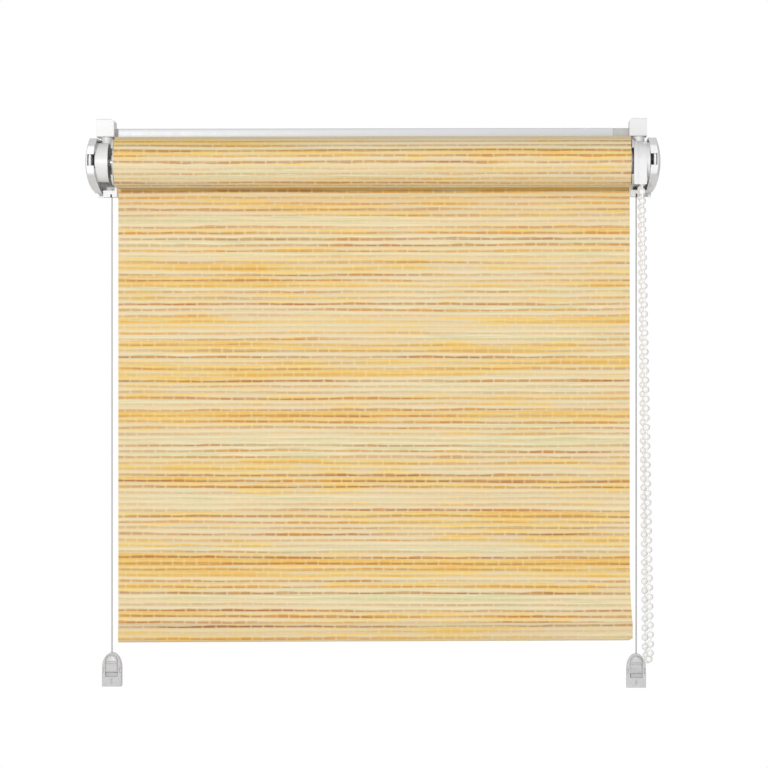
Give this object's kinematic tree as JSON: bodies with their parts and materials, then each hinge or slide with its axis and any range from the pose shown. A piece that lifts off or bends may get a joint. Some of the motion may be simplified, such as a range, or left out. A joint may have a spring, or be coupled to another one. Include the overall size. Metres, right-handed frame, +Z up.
{
  "type": "clamp roller blind",
  "caption": "Small roller blind that clamps onto a window sash: woven cloth on a chain driven roller between moulded end brackets, with a weighted hem guided by taut wires",
  "frame": {"origin": "on the rail's back face, midway along the roller, level with the top edge of the sash", "axes": "X runs along the roller to the chain end, Y runs back towards the window, Z is up"},
  "size_m": [0.368, 0.0608, 0.3658],
  "materials": {
    "white_plastic": "moulded white plastic, satin",
    "white_rail": "white powder coat",
    "grey_plastic": "moulded pale grey plastic",
    "hook_metal": "white coated pressed steel",
    "steel": "plain steel",
    "aluminium": "plain aluminium",
    "bead_plastic": "white plastic beads on a cord",
    "nylon": "clear grey nylon line",
    "woven_cloth": "coarse ribbed weave of straw, gold and brown"
  },
  "bodies": {
    "frame": {"top_rail": "white_rail", "left_rail_end": "grey_plastic", "right_rail_end": "grey_plastic", "left_bracket": "white_plastic", "right_bracket": "white_plastic", "left_end_cover": "white_plastic", "right_end_cover": "white_plastic", "left_clamp_block": "white_plastic", "right_clamp_block": "white_plastic", "left_clamp_screw": "steel", "right_clamp_screw": "steel", "idle_bearing": "white_plastic", "chain_guard": "white_plastic", "clutch_core": "white_plastic", "bead_chain": "bead_plastic", "fabric_sheet": "woven_cloth", "left_guide_wire": "nylon", "right_guide_wire": "nylon", "left_wire_ferrule": "steel", "right_wire_ferrule": "steel", "left_wire_clamp": "grey_plastic", "right_wire_clamp": "grey_plastic"},
    "roller": {"roller_tube": "aluminium", "fabric_roll": "woven_cloth", "idle_plug": "white_plastic", "idle_pin": "steel", "drive_plug": "white_plastic", "chain_sprocket": "white_plastic", "wrap_spring": "steel"},
    "bar": {"hem_pocket": "woven_cloth", "bottom_bar": "aluminium", "left_bar_cap": "white_plastic", "right_bar_cap": "white_plastic"},
    "left_hook": {"left_clamp_hook": "hook_metal"},
    "right_hook": {"right_clamp_hook": "hook_metal"},
    "left_lock": {"left_wire_lock": "grey_plastic"},
    "right_lock": {"right_wire_lock": "grey_plastic"}
  },
  "joints": [
    {"name": "roller_spin", "type": "hinge", "parent": "frame", "child": "roller", "pos_m": [0, -0.024, -0.02], "axis": [1, 0, 0], "range_deg": [0, 900], "deforming": ["bead_chain"]},
    {"name": "bar_lift", "type": "slide", "parent": "frame", "child": "bar", "axis": [0, 0, 1], "range_m": [0, 0.268], "deforming": ["fabric_sheet"]},
    {"name": "left_hook_slide", "type": "slide", "parent": "frame", "child": "left_hook", "axis": [0, 1, 0], "range_m": [-0.004, 0.004]},
    {"name": "left_lock_slide", "type": "slide", "parent": "frame", "child": "left_lock", "axis": [0, 0, 1], "range_m": [-0.0028, 0]},
    {"name": "right_hook_slide", "type": "slide", "parent": "frame", "child": "right_hook", "axis": [0, 1, 0], "range_m": [-0.004, 0.004]},
    {"name": "right_lock_slide", "type": "slide", "parent": "frame", "child": "right_lock", "axis": [0, 0, 1], "range_m": [-0.0028, 0]}
  ],
  "couplings": [
    {"joint": "bar_lift", "follows": "roller_spin", "m_per_rad": 0.01706}
  ]
}
